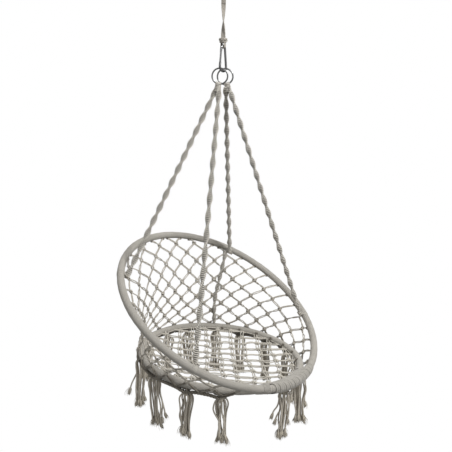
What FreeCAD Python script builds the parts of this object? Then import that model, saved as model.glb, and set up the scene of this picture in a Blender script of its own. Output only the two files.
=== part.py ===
import FreeCAD, Part
import math
import os

from FreeCAD import Placement, Rotation, Vector

# Hanging hammock chair with knotted nets: a tilted back hoop and a flatter seat hoop, joined at the front by a
# lashing and behind by a net, hung on four braided ropes, two rings, a spring hook and a twisted strap.
# Row frame in mm: origin at the inner crown of the strap's top loop, +Z up, the chair's front towards -Y.

doc = FreeCAD.newDocument("hammock_chair")
sheet = doc.addObject("Spreadsheet::Sheet", "Params")

VALUES = [
    # strap and its top loop
    ("strap_wide", 16.0),
    ("strap_thick", 4.5),
    ("loop_inner", 18.0),
    ("loop_drop", 74.0),
    ("loop_end", 100.0),
    ("loop_turn", 42.08),
    ("strap_start", 100.4),
    ("strap_end", 216.0),
    ("knot_end", 235.0),
    ("knot_wide", 14.5),
    ("lower_loop_hole", 6.2),
    ("lower_loop_out", 10.6),
    ("lower_loop_wide", 8.0),
    # spring hook
    ("hook_wire", 4.0),
    ("hook_top_z", 243.0),
    ("hook_top_bend", 9.5),
    ("hook_low_z", 331.5),
    ("hook_low_bend", 16.0),
    ("gate_wire", 3.3),
    ("gate_pin_at", 54.0),
    ("gate_pin_wire", 1.25),
    ("gate_hole", 1.30),
    ("fork_slot", 3.4),
    ("gate_tongue", 2.8),
    # rings and rope heads
    ("ring_z", 349.0),
    ("ring_bend", 27.5),
    ("ring_wire", 2.75),
    ("ring_face", 47.92),
    ("head_wide", 8.0),
    ("head_high", 28.0),
    ("head_z", 399.0),
    ("rope_top", 6.0),
    ("rope_low", 7.5),
    ("rope_start_z", 402.4),
    # hoops
    ("cover_out", 13.3),
    ("cover_in", 10.1),
    ("tube_out", 10.0),
    ("tube_in", 8.8),
    ("joiner_out", 8.7),
    ("joiner_in", 7.4),
    ("joiner_sweep", 12.0),
    ("back_bend", 387.0),
    ("back_tilt", 35.12),
    ("back_y", -8.8),
    ("back_z", 1163.5),
    ("back_seam", 66.6),
    ("seat_bend", 291.5),
    ("seat_tilt", 6.88),
    ("seat_y", -9.3),
    ("seat_z", 1356.3),
    ("seat_seam", 20.0),
    ("tie_out", 16.0),
    ("tie_sweep", 4.0),
    # where the ropes meet the back hoop, in degrees from its highest point
    ("rope_rl", -56.0),
    ("rope_fl", -124.4),
    ("rope_rr", 47.4),
    ("rope_fr", 112.5),
    ("braid_wire", 5.0),
    # nets, lashing, tassels
    ("net_thick", 2.2),
    ("rope_side_rear", 24.0),
    ("rope_side_front", 21.4),
    ("net_off", 14.8),
    ("net_bow", 0.42),
    ("net_start", 19.5),
    ("net_sweep", 142.0),
    ("seat_net_sag", 20.0),
    ("seat_net_edge", 277.5),
    ("lash_out", 15.9),
    ("lash_from", 157.0),
    ("lash_to", 200.0),
    ("tassel_drop", 26.6),
    ("tassel_knot", 8.0),
    ("tassel_neck", 6.0),
    ("tassel_skirt", 14.0),
    ("tassel_long", 165.0),
    # shift that brings the centre of mass under the strap
    ("chair_dy", 0.82),
    ("chair_dx", -2.29),
]
for row, (name, value) in enumerate(VALUES, 1):
    sheet.set("A%d" % row, name)
    sheet.set("B%d" % row, str(value))
    sheet.setAlias("B%d" % row, name)
doc.recompute()


def size(name):
    return float(getattr(sheet, name))


def bind(obj, **props):
    for prop, expression in props.items():
        obj.setExpression(prop, expression)
    return obj


def rad(degrees):
    return math.radians(degrees)


NODES = []


def node(obj, name):
    obj.Label = name
    NODES.append(obj)
    return obj


def primitive(kind, name, **props):
    obj = doc.addObject("Part::" + kind, name)
    return bind(obj, **props)


def cut(base, tool, name):
    obj = doc.addObject("Part::Cut", name)
    obj.Base = base
    obj.Tool = tool
    return obj


def plane(body, role):
    return [f for f in body.Origin.OriginFeatures if f.Role == role][0]


def sketch_on(body, role, name, offset=None):
    sk = body.newObject("Sketcher::SketchObject", name)
    sk.AttachmentSupport = [(plane(body, role), "")]
    sk.MapMode = "FlatFace"
    if offset is not None:
        sk.AttachmentOffset = offset
    return sk


def outline(sk, points):
    """Closed outline of straight edges; a point given as (x, y, 'arc', mx, my) is reached by an arc through m."""
    import Sketcher

    n = len(points)
    for i in range(n):
        a = points[i]
        b = points[(i + 1) % n]
        start, end = Vector(a[0], a[1], 0), Vector(b[0], b[1], 0)
        if len(b) > 2:
            sk.addGeometry(Part.Arc(start, Vector(b[3], b[4], 0), end), False)
        else:
            sk.addGeometry(Part.LineSegment(start, end), False)
    for i in range(n):
        sk.addConstraint(Sketcher.Constraint("Block", i))


def circle(sk, x, y, expression):
    import Sketcher

    i = sk.addGeometry(Part.Circle(Vector(x, y, 0), Vector(0, 0, 1), 1.0), False)
    if abs(x) < 1e-9 and abs(y) < 1e-9:
        sk.addConstraint(Sketcher.Constraint("Coincident", i, 3, -1, 1))
    else:
        sk.addConstraint(Sketcher.Constraint("DistanceX", -1, 1, i, 3, x) if x > 0 else Sketcher.Constraint("DistanceX", i, 3, -1, 1, -x) if x < 0 else Sketcher.Constraint("PointOnObject", i, 3, -2))
        sk.addConstraint(Sketcher.Constraint("DistanceY", -1, 1, i, 3, y) if y > 0 else Sketcher.Constraint("DistanceY", i, 3, -1, 1, -y) if y < 0 else Sketcher.Constraint("PointOnObject", i, 3, -1))
    c = sk.addConstraint(Sketcher.Constraint("Radius", i, 1.0))
    sk.setExpression("Constraints[%d]" % c, expression)
    return i


def pad(body, sk, name, expression):
    f = body.newObject("PartDesign::Pad", name)
    f.Profile = sk
    f.Midplane = True
    f.setExpression("Length", expression)
    return f


def pocket(body, sk, name, expression):
    doc.recompute()
    before = body.Shape.Volume
    f = body.newObject("PartDesign::Pocket", name)
    f.Profile = sk
    f.Midplane = True
    f.setExpression("Length", expression)
    doc.recompute()
    assert body.Shape.Volume < before - 0.5, (name, before, body.Shape.Volume)
    return f


def revolve(body, sk, name):
    f = body.newObject("PartDesign::Revolution", name)
    f.Profile = sk
    f.ReferenceAxis = (sk, ["V_Axis"])
    f.Angle = 360.0
    return f


# ---------------------------------------------------------------- geometry shared by the hoops


class Hoop:
    def __init__(self, bend, tilt, y, z):
        self.bend, self.tilt = bend, rad(tilt)
        self.centre = Vector(0, y, -z)
        self.place = Placement(self.centre, Rotation(Vector(1, 0, 0), tilt))
        self.normal = Vector(0, -math.sin(self.tilt), math.cos(self.tilt))

    def radial(self, phi):
        a = rad(phi)
        return self.place.Rotation.multVec(Vector(math.sin(a), math.cos(a), 0))

    def tangent(self, phi):
        a = rad(phi)
        return self.place.Rotation.multVec(Vector(math.cos(a), -math.sin(a), 0))

    def at(self, phi):
        return self.centre + self.radial(phi) * self.bend

    def arc_place(self, phi, sweep):
        """Placement of a Part::Torus with Angle3 = sweep, centred on phi."""
        start = 90.0 - phi - sweep / 2.0
        return self.place.multiply(Placement(Vector(0, 0, 0), Rotation(Vector(0, 0, 1), start)))


DX, DY = size("chair_dx"), size("chair_dy")
SHIFT = Vector(DX, DY, 0)
back = Hoop(size("back_bend"), size("back_tilt"), size("back_y") + DY, size("back_z"))
seat = Hoop(size("seat_bend"), size("seat_tilt"), size("seat_y") + DY, size("seat_z"))
for h in (back, seat):
    h.centre = h.centre + Vector(DX, 0, 0)
    h.place = Placement(h.centre, h.place.Rotation)


# ---------------------------------------------------------------- strap

body = node(doc.addObject("PartDesign::Body", "strap_loop"), "strap_loop")
sk = sketch_on(body, "XZ_Plane", "loop_outline")
ri, t = size("loop_inner"), size("strap_thick")
drop, end = size("loop_drop"), size("loop_end")
beta = math.asin(ri / (drop - ri))
tx, tz = ri * math.cos(beta), -ri - ri * math.sin(beta)
dx, dz = tx, tz + drop
run = math.hypot(dx, dz)
nx, nz = dz / run * t, -dx / run * t
slope = dz / dx
neck_z = -drop + nz + (t - nx) * slope
outline(sk, [(t, -end), (t, neck_z), (tx + nx, tz + nz), (-tx - nx, tz + nz, "arc", 0.0, t), (-t, neck_z), (-t, -end)])
inner = [(0.0, -drop), (tx, tz), (-tx, tz, "arc", 0.0, 0.0)]
for i in range(3):
    a, b = inner[i], inner[(i + 1) % 3]
    if len(b) > 2:
        sk.addGeometry(Part.Arc(Vector(a[0], a[1], 0), Vector(b[3], b[4], 0), Vector(b[0], b[1], 0)), False)
    else:
        sk.addGeometry(Part.LineSegment(Vector(a[0], a[1], 0), Vector(b[0], b[1], 0)), False)
body.Tip = pad(body, sk, "loop_band", "Params.strap_wide")
body.Placement = Placement(Vector(0, 0, 0), Rotation(Vector(0, 0, 1), size("loop_turn")))

# the strap itself: a flat band that twists half a turn on its way down
body = node(doc.addObject("PartDesign::Body", "hanging_strap"), "hanging_strap")
import Sketcher

sections = []
z0, z1 = size("strap_start"), size("strap_end")
for i, (f, turn) in enumerate([(0.0, 10.0), (0.25, 50.0), (0.5, 90.0), (0.75, 140.0), (1.0, 180.0)]):
    z = -(z0 + (z1 - z0) * f)
    sk = sketch_on(body, "XY_Plane", "band_section_%d" % i, Placement(Vector(0, 0, z), Rotation(Vector(0, 0, 1), size("loop_turn") + 90.0 + turn)))
    w, d = size("strap_wide") / 2, size("strap_thick") / 2
    pts = [Vector(-w, -d, 0), Vector(w, -d, 0), Vector(w, d, 0), Vector(-w, d, 0)]
    for k in range(4):
        sk.addGeometry(Part.LineSegment(pts[k], pts[(k + 1) % 4]), False)
    for k in range(4):
        sk.addConstraint(Sketcher.Constraint("Coincident", k, 2, (k + 1) % 4, 1))
    sk.addConstraint(Sketcher.Constraint("Horizontal", 0))
    sk.addConstraint(Sketcher.Constraint("Horizontal", 2))
    sk.addConstraint(Sketcher.Constraint("Vertical", 1))
    sk.addConstraint(Sketcher.Constraint("Vertical", 3))
    sk.addConstraint(Sketcher.Constraint("Symmetric", 0, 1, 1, 2, -1, 1))
    c = sk.addConstraint(Sketcher.Constraint("DistanceX", 0, 1, 0, 2, 2 * w))
    sk.setExpression("Constraints[%d]" % c, "Params.strap_wide")
    c = sk.addConstraint(Sketcher.Constraint("DistanceY", 1, 1, 1, 2, 2 * d))
    sk.setExpression("Constraints[%d]" % c, "Params.strap_thick")
    sections.append(sk)
loft = body.newObject("PartDesign::AdditiveLoft", "twisted_band")
loft.Profile = sections[0]
loft.Sections = sections[1:]
body.Tip = loft

body = node(doc.addObject("PartDesign::Body", "strap_knot"), "strap_knot")
sk = sketch_on(body, "XZ_Plane", "knot_profile")
za, zb, w = -size("strap_end"), -size("knot_end"), size("knot_wide")
outline(sk, [(0, za), (9.0, za), (w, (za + zb) / 2 - 2, "arc", 13.3, za - 4.0), (9.5, zb, "arc", 13.4, zb + 2.6), (0, zb)])
body.Tip = revolve(body, sk, "knot_turned")

body = node(doc.addObject("PartDesign::Body", "strap_lower_loop"), "strap_lower_loop")
sk = sketch_on(body, "YZ_Plane", "lower_loop_outline")
ro, hz = size("lower_loop_out"), -size("hook_top_z")
outline(sk, [(-ro, zb), (-ro, hz), (ro, hz, "arc", 0.0, hz - ro), (ro, zb)])
circle(sk, 0.0, hz, "Params.lower_loop_hole")
body.Tip = pad(body, sk, "lower_loop_band", "Params.lower_loop_wide")

# ---------------------------------------------------------------- spring hook

wire = size("hook_wire")
rt, rb = size("hook_top_bend"), size("hook_low_bend")
ct, cb = -size("hook_top_z") - rt, -size("hook_low_z") + rb
lean = math.asin((rb - rt) / (ct - cb))
cosl, sinl = math.cos(lean), math.sin(lean)
top_left = Vector(-rt * cosl, 0, ct + rt * sinl)
low_left = Vector(-rb * cosl, 0, cb + rb * sinl)
down = (low_left - top_left).normalize()
out = Vector(-cosl, 0, sinl)


def on_side(s, w=0.0):
    return top_left + down * s + out * w


body = node(doc.addObject("PartDesign::Body", "hook_body"), "hook_body")
spine = sketch_on(body, "XZ_Plane", "hook_line")
# sketch x is row X, sketch y is row Z
nose, heel = on_side(14.0), on_side(49.6)


def xz(v):
    return Vector(v.x, v.z, 0)


mirror = lambda v: Vector(-v.x, 0, v.z)
spine.addGeometry(Part.LineSegment(xz(nose), xz(top_left)), False)
spine.addGeometry(Part.Arc(xz(top_left), Vector(0, ct + rt, 0), xz(mirror(top_left))), False)
spine.addGeometry(Part.LineSegment(xz(mirror(top_left)), xz(mirror(low_left))), False)
spine.addGeometry(Part.Arc(xz(mirror(low_left)), Vector(0, cb - rb, 0), xz(low_left)), False)
spine.addGeometry(Part.LineSegment(xz(low_left), xz(heel)), False)
for i in range(5):
    spine.addConstraint(Sketcher.Constraint("Block", i))
angle = math.degrees(math.atan2(-down.x, -down.z))
profile = sketch_on(body, "XY_Plane", "hook_section", Placement(nose, Rotation(Vector(0, 1, 0), angle)))
circle(profile, 0.0, 0.0, "Params.hook_wire")
pipe = body.newObject("PartDesign::AdditivePipe", "hook_rod")
pipe.Profile = profile
pipe.Spine = (spine, [])
body.Tip = pipe
doc.recompute()
sk = sketch_on(body, "XZ_Plane", "fork_outline")
outline(sk, [(p.x, p.z) for p in (on_side(44.0, -6), on_side(60.0, -6), on_side(60.0, 6), on_side(44.0, 6))])
body.Tip = pocket(body, sk, "fork_slot", "Params.fork_slot")
pin = on_side(size("gate_pin_at"))
sk = sketch_on(body, "XZ_Plane", "pin_hole_outline")
circle(sk, pin.x, pin.z, "Params.gate_pin_wire")
body.Tip = pocket(body, sk, "pin_hole", "Params.hook_wire * 4")
sk = sketch_on(body, "XZ_Plane", "nose_step_outline")
outline(sk, [(p.x, p.z) for p in (on_side(10.0, -6), on_side(16.0, -6), on_side(16.0, 0), on_side(10.0, 0))])
body.Tip = pocket(body, sk, "nose_step", "Params.hook_wire * 4")

obj = node(primitive("Cylinder", "gate_pin", Radius="Params.gate_pin_wire - 0.01", Height="Params.hook_wire * 2"), "gate_pin")
obj.Placement = Placement(Vector(pin.x, wire, pin.z), Rotation(Vector(1, 0, 0), 90))

# the gate, drawn upright with its hinge at the body's own origin
body = node(doc.addObject("PartDesign::Body", "hook_gate"), "hook_gate")
gw, tongue = size("gate_wire"), size("gate_tongue")
top = size("gate_pin_at") - 10.4
sk = sketch_on(body, "XZ_Plane", "gate_profile")
outline(sk, [(0, 7.0), (gw, 7.0), (gw, top), (0, top)])
body.Tip = revolve(body, sk, "gate_rod")
doc.recompute()
sk = sketch_on(body, "XZ_Plane", "tongue_outline")
outline(sk, [(-2.9, 0.0), (2.9, 0.0, "arc", 0.0, -2.9), (2.9, 8.0), (-2.9, 8.0)])
body.Tip = pad(body, sk, "gate_tongue", "Params.gate_tongue")
doc.recompute()
sk = sketch_on(body, "XZ_Plane", "gate_hole_outline")
circle(sk, 0.0, 0.0, "Params.gate_hole")
body.Tip = pocket(body, sk, "gate_hole", "Params.gate_tongue * 2")
sk = sketch_on(body, "XZ_Plane", "gate_step_outline")
step = size("gate_pin_at") - 14.4
outline(sk, [(-0.35, step), (5.0, step), (5.0, top + 1), (-0.35, top + 1)])
body.Tip = pocket(body, sk, "gate_step", "Params.gate_wire * 4")
# closed bore for the return spring
sk = sketch_on(body, "XZ_Plane", "gate_bore_outline")
outline(sk, [(0, 11.0), (1.9, 11.0), (1.9, 35.0), (0, 35.0)])
doc.recompute()
before = body.Shape.Volume
bore = body.newObject("PartDesign::Groove", "gate_bore")
bore.Profile = sk
bore.ReferenceAxis = (sk, ["V_Axis"])
bore.Angle = 360.0
body.Tip = bore
doc.recompute()
assert body.Shape.Volume < before - 100, "gate bore"
up = down * -1
gate_rotation = Rotation(out, Vector(0, 0, 0), up, "ZXY")
body.Placement = Placement(pin, gate_rotation)

outer = primitive("Cylinder", "spring_outer", Radius="1.75", Height="22")
inner = primitive("Cylinder", "spring_inner", Radius="1.15", Height="22")
obj = node(cut(outer, inner, "gate_spring"), "gate_spring")
obj.Placement = Placement(pin + gate_rotation.multVec(Vector(0, 0, 12.0)), gate_rotation)

# ---------------------------------------------------------------- rings and rope heads

face = rad(size("ring_face"))
view = Vector(math.sin(face), math.cos(face), 0)  # across the rings' planes
along = Vector(math.cos(face), -math.sin(face), 0)  # in the rings' planes
rz = -size("ring_z")
ring_turn = Rotation(Vector(0, 0, 1), view)
RINGS = {"left": Vector(-9.5, 5.5, rz), "right": Vector(8.1, -4.0, rz)}
HEADS = {"left": Vector(-14.2, 10.7, -size("head_z")), "right": Vector(14.2, -10.6, -size("head_z"))}
for side in ("left", "right"):
    obj = node(primitive("Torus", "ring_" + side, Radius1="Params.ring_bend", Radius2="Params.ring_wire"), "ring_" + side)
    obj.Placement = Placement(RINGS[side], ring_turn)
    cone = primitive("Cone", "head_blank_" + side, Radius1="Params.head_wide", Radius2="Params.head_wide - 0.8", Height="Params.head_high")
    cone.Placement = Placement(HEADS[side], Rotation())
    groove = primitive("Torus", "head_groove_" + side, Radius1="Params.ring_bend", Radius2="Params.ring_wire + 0.1")
    groove.Placement = Placement(RINGS[side], ring_turn)
    node(cut(cone, groove, "rope_head_" + side), "rope_head_" + side)

# ---------------------------------------------------------------- hoops: tubes, joiners and covers


def torus_shell(name, bend, out_size, in_size, sweep, place):
    a = primitive("Torus", name + "_outer", Radius1=bend, Radius2=out_size)
    b = primitive("Torus", name + "_inner", Radius1=bend, Radius2=in_size)
    for o in (a, b):
        if isinstance(sweep, str):
            o.setExpression("Angle3", sweep)
        else:
            o.Angle3 = sweep
        o.Placement = place
    return node(cut(a, b, name), name)


for hoop, word, seam in ((back, "back", -size("back_seam")), (seat, "seat", -size("seat_seam"))):
    bend = "Params.%s_bend" % word
    for i, side in enumerate(("left", "right")):
        middle = seam - 90.0 + 180.0 * i
        torus_shell("%s_hoop_tube_%s" % (word, side), bend, "Params.tube_out", "Params.tube_in", 179.94, hoop.arc_place(middle, 179.94))
    for i, side in enumerate(("left", "right")):
        torus_shell("%s_hoop_joiner_%s" % (word, side), bend, "Params.joiner_out", "Params.joiner_in", "Params.joiner_sweep", hoop.arc_place(seam + 180.0 * i, size("joiner_sweep")))
    torus_shell("%s_hoop_cover" % word, bend, "Params.cover_out", "Params.cover_in", 360.0, hoop.place)

# ---------------------------------------------------------------- ropes, their ties on the back hoop, the back braid


def aim(direction):
    return Rotation(Vector(0, 0, 1), direction)


STARTS = {
    "rear_left": ("rope_rl", Vector(-18.9, 18.9, 0)),
    "front_left": ("rope_fl", Vector(-13.9, 4.5, 0)),
    "rear_right": ("rope_rr", Vector(13.0, -3.4, 0)),
    "front_right": ("rope_fr", Vector(19.5, -19.4, 0)),
}
row = len(VALUES) + 1
for name, (angle_name, start) in STARTS.items():
    phi = size(angle_name)
    start = Vector(start.x, start.y, -size("rope_start_z"))
    # the rope ends against the inside of the hoop's tube, where the tie holds it
    target = back.at(phi) - back.radial(phi) * size("rope_side_" + name.split("_")[0])
    d = (target - start).normalize()
    long = (target - start).Length
    sheet.set("A%d" % row, "long_" + name)
    sheet.set("B%d" % row, "%.3f" % long)
    sheet.setAlias("B%d" % row, "long_" + name)
    row += 1
    doc.recompute()
    rope = primitive("Cone", "rope_" + name, Radius1="Params.rope_top", Radius2="Params.rope_low", Height="Params.long_" + name)
    rope.Placement = Placement(start, aim(d))
    node(rope, "rope_" + name)
    torus_shell("rope_tie_" + name, "Params.back_bend", "Params.tie_out", "Params.cover_out + 0.1", "Params.tie_sweep", back.arc_place(phi, size("tie_sweep")))


def cross_frame(phi):
    """The plane across the seat hoop at phi, and where the back hoop passes through it."""
    c, e, k, n = seat.at(phi), seat.radial(phi), seat.normal, seat.tangent(phi)
    other = phi
    for _ in range(12):
        gap = (back.at(other) - c).dot(n)
        other -= math.degrees(gap / (back.tangent(other).dot(n) * back.bend))
    return back.at(other), c, e, k


def net_curve(phi):
    """The net across the chair at phi: from the back hoop it is drawn inwards, then goes over the outside of the seat hoop."""
    a, c, e, k = cross_frame(phi)
    off = size("net_off")
    d = a - c
    x, y = d.dot(e), d.dot(k)
    reach = math.hypot(x, y)
    lift = math.atan2(y, x) - math.acos(off / reach)
    side = e * math.cos(lift) + k * math.sin(lift)
    line = k * math.cos(lift) - e * math.sin(lift)
    long = math.sqrt(reach * reach - off * off)
    rise = math.atan(4.0 * size("net_bow") * long / 1000.0)
    touch = c + side * (off * math.cos(rise)) + line * (off * math.sin(rise))
    arrive = side * math.sin(rise) - line * math.cos(rise)
    knee = touch - arrive * ((long / 2 - off * math.sin(rise)) / math.cos(rise))
    top = a + (knee - a).normalize() * size("net_start")
    return a, c, side, line, rise, top, knee, touch


def net_point(curve, f):
    """A point of the net's middle surface, f = 0 at the back hoop and 1 where it meets the seat hoop, and the outward normal."""
    a, c, side, line, rise, top, knee, touch = curve
    p = top * ((1 - f) * (1 - f)) + knee * (2 * f * (1 - f)) + touch * (f * f)
    d = ((knee - top) * (2 * (1 - f)) + (touch - knee) * (2 * f)).normalize()
    return p, side * (-d.dot(line)) + line * d.dot(side)


def net_section(phi):
    curve = net_curve(phi)
    a, c, side, line, rise, top, knee, touch = curve
    off, half = size("net_off"), size("net_thick") / 2
    inner, outer = [], []
    for i in range(8):
        p, n = net_point(curve, i / 8.0)
        inner.append(p - n * half)
        outer.append(p + n * half)
    low = -math.degrees(rise)
    for i in range(7):
        ang = rad(low + (76.0 - low) * i / 6.0)
        r = side * math.cos(ang) - line * math.sin(ang)
        inner.append(c + r * (off - half + (0.0 if i in (0, 6) else 0.1)))
        outer.append(c + r * (off + half))
    return inner + outer[::-1]


def closed_wire(points):
    return Part.makePolygon(points + [points[0]])


edge = size("net_sweep")
count = 25
sections = [closed_wire(net_section(-edge + 2 * edge * i / (count - 1))) for i in range(count)]
net = doc.addObject("Part::Feature", "back_net")
net.Shape = Part.makeLoft(sections, True, False)
node(net, "back_net")

# a braid runs down the inside of the net from the right rear rope to the seat hoop: how far down the net, and its angle
BRAID_RIGHT = [(0.03, 45.5), (0.28, 43.0), (0.46, 41.0), (0.66, 39.0), (0.82, 40.0), (0.93, 41.2)]
for side_name, bends in (("right", BRAID_RIGHT),):
    wire_r = size("braid_wire")
    middles = []
    for f, phi in bends:
        curve = net_curve(phi)
        p, n = net_point(curve, f)
        middles.append(p - n * (size("net_thick") / 2 + 0.6 + wire_r))
    way = Part.BSplineCurve()
    way.interpolate(middles)
    rings = []
    for i in range(13):
        t = way.FirstParameter + (way.LastParameter - way.FirstParameter) * i / 12.0
        rings.append(Part.Wire(Part.makeCircle(wire_r, way.value(t), Vector(*way.tangent(t)[0]))))
    braid = doc.addObject("Part::Feature", "back_braid_" + side_name)
    braid.Shape = Part.makeLoft(rings, True, False)
    node(braid, "back_braid_" + side_name)

# ---------------------------------------------------------------- seat net: a shallow dish inside the seat hoop

body = doc.addObject("PartDesign::Body", "seat_net_dish")
sk = sketch_on(body, "XZ_Plane", "seat_net_profile")
er, sag, half = size("seat_net_edge"), size("seat_net_sag"), size("net_thick") / 2


def dish(x):
    return -sag * (1 - (x / er) ** 2)


stations = [0.0, er * 0.22, er * 0.42, er * 0.62, er * 0.82, er]
low = [(x, dish(max(x, er * 0.1)) - half) for x in stations]
high = [(x, dish(max(x, er * 0.1)) + half) for x in stations[::-1]]
outline(sk, low + high)
body.Tip = revolve(body, sk, "seat_net_turned")
body.Placement = seat.place
lf, lt = size("lash_from"), size("lash_to")
room = primitive("Torus", "seat_net_lashing_room", Radius1="Params.seat_bend", Radius2="Params.lash_out + 0.3")
room.Angle3 = (lt - lf) + 2.0
room.Placement = seat.arc_place((lf + lt) / 2, (lt - lf) + 2.0)
node(cut(body, room, "seat_net"), "seat_net")

# ---------------------------------------------------------------- front lashing: one wrap round both hoops


def stadium(phi):
    a, c, e, k = cross_frame(phi)
    u = (a - c).normalize()
    v = (e * k.dot(u) - k * e.dot(u)).normalize()
    r = size("lash_out")
    points = [a + (v * math.cos(rad(i * 18)) + u * math.sin(rad(i * 18))) * r for i in range(11)]
    points += [c + (v * math.cos(rad(i * 18)) + u * math.sin(rad(i * 18))) * r for i in range(10, 21)]
    return Part.makePolygon(points + [points[0]])


n = 7
lf, lt = size("lash_from"), size("lash_to")
steps = [lf + (lt - lf) * i / (n - 1) for i in range(n)]
blank = doc.addObject("Part::Feature", "lashing_blank")
blank.Shape = Part.makeLoft([stadium(p) for p in steps], True, False)
hollows = []
for word in ("back", "seat"):
    hoop = back if word == "back" else seat
    hollow = primitive("Torus", "lashing_hollow_" + word, Radius1="Params.%s_bend" % word, Radius2="Params.cover_out + 0.1")
    hollow.Angle3 = (lt - lf) + 12.0
    hollow.Placement = hoop.arc_place((lf + lt) / 2, (lt - lf) + 12.0)
    hollows.append(hollow)
node(cut(cut(blank, hollows[0], "lashing_one_bore"), hollows[1], "front_lashing"), "front_lashing")

# ---------------------------------------------------------------- tassels under the seat hoop

TASSELS = [0.0, 18.5, 42.0, 62.6, 85.0, 110.0, 130.0, 152.0, 180.0, 227.0, 249.5, 278.0, 308.0, 332.0]
for i, phi in enumerate(TASSELS, 1):
    name = "tassel_%02d" % i
    body = node(doc.addObject("PartDesign::Body", name), name)
    sk = sketch_on(body, "XZ_Plane", name + "_profile")
    k, nk, ts, tl = size("tassel_knot"), size("tassel_neck"), size("tassel_skirt"), size("tassel_long")
    low = -math.sqrt(k * k - nk * nk)
    outline(sk, [(0, k), (nk, low, "arc", k, 0.0), (ts, -tl * 0.62), (ts * 0.9, -tl), (0, -tl)])
    body.Tip = revolve(body, sk, name + "_turned")
    c = seat.at(phi)
    body.Placement = Placement(c + Vector(0, 0, -size("tassel_drop")), Rotation())

doc.recompute()

# ---------------------------------------------------------------- checks and files

bad = [o.Label for o in doc.Objects if any(s in ("Invalid", "Error") for s in o.State)]
assert not bad, "failed objects: %s" % bad
labels = [o.Label for o in NODES]
assert len(labels) == len(set(labels)) and len(labels) <= 60, len(labels)
for o in NODES:
    assert not o.Shape.isNull() and o.Shape.isValid() and o.Shape.Volume > 0, o.Label
    assert len(o.Shape.Solids) == 1, (o.Label, len(o.Shape.Solids))

os.makedirs("parts", exist_ok=True)
for f in os.listdir("parts"):
    if f.endswith(".step"):
        os.remove(os.path.join("parts", f))
for o in NODES:
    o.Shape.exportStep("parts/%s.step" % o.Label)
print("nodes", len(NODES))
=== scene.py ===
import math

import bpy
import numpy as np
from mathutils import Matrix, Vector


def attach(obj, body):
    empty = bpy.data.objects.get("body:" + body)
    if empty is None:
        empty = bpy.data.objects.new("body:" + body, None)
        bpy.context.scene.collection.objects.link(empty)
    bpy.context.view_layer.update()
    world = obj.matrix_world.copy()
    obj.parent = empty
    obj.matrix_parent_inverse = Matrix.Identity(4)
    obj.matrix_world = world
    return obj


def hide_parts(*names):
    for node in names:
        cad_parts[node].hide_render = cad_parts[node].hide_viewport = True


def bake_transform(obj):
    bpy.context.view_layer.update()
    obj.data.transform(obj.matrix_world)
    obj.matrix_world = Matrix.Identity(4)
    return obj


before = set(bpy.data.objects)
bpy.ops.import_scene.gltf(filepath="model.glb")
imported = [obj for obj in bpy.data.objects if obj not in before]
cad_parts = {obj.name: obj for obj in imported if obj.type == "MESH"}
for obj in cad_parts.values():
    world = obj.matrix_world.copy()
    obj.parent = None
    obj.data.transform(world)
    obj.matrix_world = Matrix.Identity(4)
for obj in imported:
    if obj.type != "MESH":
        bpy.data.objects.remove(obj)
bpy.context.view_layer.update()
rng = np.random.default_rng(7)
TAU = 2 * math.pi

# ------------------------------------------------------------------ sizes repeated from the part, in metres
DX, DY = -0.00229, 0.00082
RING_Z, RING_R, RING_WIRE = -0.349, 0.0275, 0.00275
FACE = math.radians(47.92)
ALONG = np.array([math.cos(FACE), -math.sin(FACE), 0.0])
ACROSS = np.array([math.sin(FACE), math.cos(FACE), 0.0])
COVER_R = 0.0133
Z = np.array([0.0, 0.0, 1.0])


class Hoop:
    def __init__(self, R, tilt, y, z):
        self.R, t = R, math.radians(tilt)
        self.c = np.array([DX, y + DY, z])
        self.u = np.array([0.0, math.cos(t), math.sin(t)])
        self.v = np.array([1.0, 0.0, 0.0])
        self.n = np.array([0.0, -math.sin(t), math.cos(t)])

    def radial(self, phi):
        p = np.radians(np.asarray(phi, float))
        return np.cos(p)[..., None] * self.u + np.sin(p)[..., None] * self.v

    def tangent(self, phi):
        p = np.radians(np.asarray(phi, float))
        return -np.sin(p)[..., None] * self.u + np.cos(p)[..., None] * self.v

    def at(self, phi):
        return self.c + self.R * self.radial(phi)


BACK = Hoop(0.387, 35.12, -0.0088, -1.1635)
SEAT = Hoop(0.2915, 6.88, -0.0093, -1.3563)

# ------------------------------------------------------------------ camera and lights
scene = bpy.context.scene
cam_data = bpy.data.cameras.new("camera")
cam = bpy.data.objects.new("camera", cam_data)
scene.collection.objects.link(cam)
scene.camera = cam
AZ, EL, DIST, FOCAL, ROLL = math.radians(47.92), math.radians(5.20), 2.048, 563.9, math.radians(0.68)
fwd = Vector((math.sin(AZ) * math.cos(EL), math.cos(AZ) * math.cos(EL), -math.sin(EL)))
right = Vector((math.cos(AZ), -math.sin(AZ), 0.0))
up = right.cross(fwd)
aim = Vector((0, 0, -0.5328 + RING_Z)) + 0.0176 * right
place = aim - DIST * fwd
r2 = math.cos(ROLL) * right + math.sin(ROLL) * up
u2 = -math.sin(ROLL) * right + math.cos(ROLL) * up
m = Matrix.Identity(4)
for i in range(3):
    m[i][0], m[i][1], m[i][2], m[i][3] = r2[i], u2[i], -fwd[i], place[i]
cam.matrix_world = m
cam_data.sensor_width = 36.0
cam_data.lens = 36.0 * FOCAL / 452.0
cam_data.clip_start, cam_data.clip_end = 0.05, 100.0

world = bpy.data.worlds.new("studio")
scene.world = world
world.use_nodes = True
wnt = world.node_tree
bg = wnt.nodes["Background"]
bg.inputs["Color"].default_value = (1.0, 1.0, 1.0, 1.0)
seen = wnt.nodes.new("ShaderNodeLightPath")
level = wnt.nodes.new("ShaderNodeMapRange")
level.inputs["To Min"].default_value = 0.38
level.inputs["To Max"].default_value = 1.0
wnt.links.new(seen.outputs["Is Camera Ray"], level.inputs["Value"])
wnt.links.new(level.outputs["Result"], bg.inputs["Strength"])


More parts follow.
